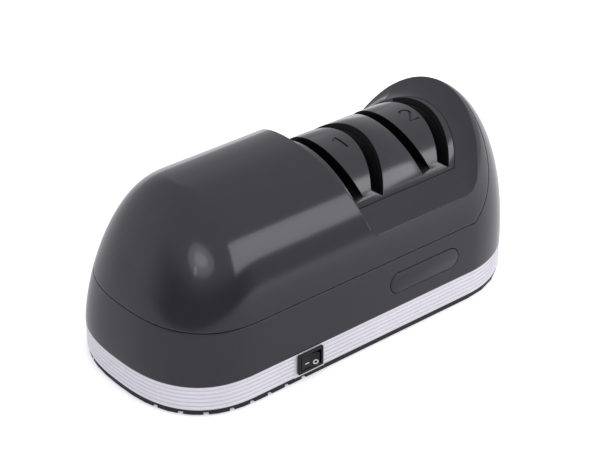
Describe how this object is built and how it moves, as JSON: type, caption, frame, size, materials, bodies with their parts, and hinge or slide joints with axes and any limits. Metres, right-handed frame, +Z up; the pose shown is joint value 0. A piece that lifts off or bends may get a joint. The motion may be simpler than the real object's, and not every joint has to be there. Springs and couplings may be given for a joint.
{
  "type": "electric knife sharpener",
  "caption": "Electric kitchen knife sharpener with a domed motor end, numbered sharpening stages with angled knife slots over grinding wheels, a rocker switch and a ribbed trim band.",
  "frame": {"origin": "under the middle of the body, on the surface that the feet stand on", "axes": "+X from the domed nose to the tail, -Y towards the front with the switch, +Z up"},
  "size_m": [0.227, 0.1098, 0.0954],
  "materials": {
    "case": "semi-gloss anthracite",
    "base": "fine matte",
    "rubber": "matte",
    "band": "satin silver paint",
    "black_plastic": "smooth",
    "badge": "gloss",
    "steel": "plain",
    "copper": "enamelled",
    "brass": "plain",
    "carbon": "matte graphite",
    "magnet": "dull ferrite",
    "core_steel": "laminated",
    "grit_coarse": "coarse abrasive",
    "grit_fine": "fine abrasive",
    "white_plastic": "smooth",
    "board": "green lacquer",
    "parts_mixed": "smooth"
  },
  "bodies": {
    "housing": {"base_plate": "base", "rubber_feet": "rubber", "trim_band": "band", "lower_housing": "case", "upper_cover": "case", "guide_cover": "case", "stage_1_liner": "black_plastic", "stage_2_liner": "black_plastic", "badge_plate": "badge", "switch_housing": "black_plastic", "switch_terminals": "brass", "motor_can": "steel", "motor_end_cap": "black_plastic", "motor_magnets": "magnet", "brush_holders": "brass", "carbon_brushes": "carbon", "motor_bushes": "brass", "motor_cradle": "base", "motor_straps": "steel", "front_bearing_block": "base", "tail_bearing_block": "base", "shaft_bearings": "steel", "dust_tray": "black_plastic", "circuit_board": "board", "board_components": "parts_mixed", "cord_gland": "rubber", "cord_clamp": "base", "case_screws": "steel", "inner_screws": "steel"},
    "rocker": {"switch_rocker": "black_plastic"},
    "spindle": {"motor_shaft": "steel", "rotor_core": "core_steel", "rotor_windings": "copper", "commutator": "copper", "cooling_fan": "white_plastic", "shaft_coupling": "steel", "wheel_shaft": "steel", "coarse_wheel": "grit_coarse", "fine_wheel": "grit_fine", "wheel_hubs": "black_plastic", "wheel_spacer": "steel", "shaft_nut": "steel"}
  },
  "joints": [
    {"name": "rocker_tilt", "type": "hinge", "parent": "housing", "child": "rocker", "pos_m": [-0.04, -0.04805, 0.0103], "axis": [0, 0, 1], "range_deg": [0, 20]},
    {"name": "spindle_spin", "type": "hinge", "parent": "housing", "child": "spindle", "pos_m": [0, 0, 0.045], "axis": [1, 0, 0], "continuous": true}
  ]
}
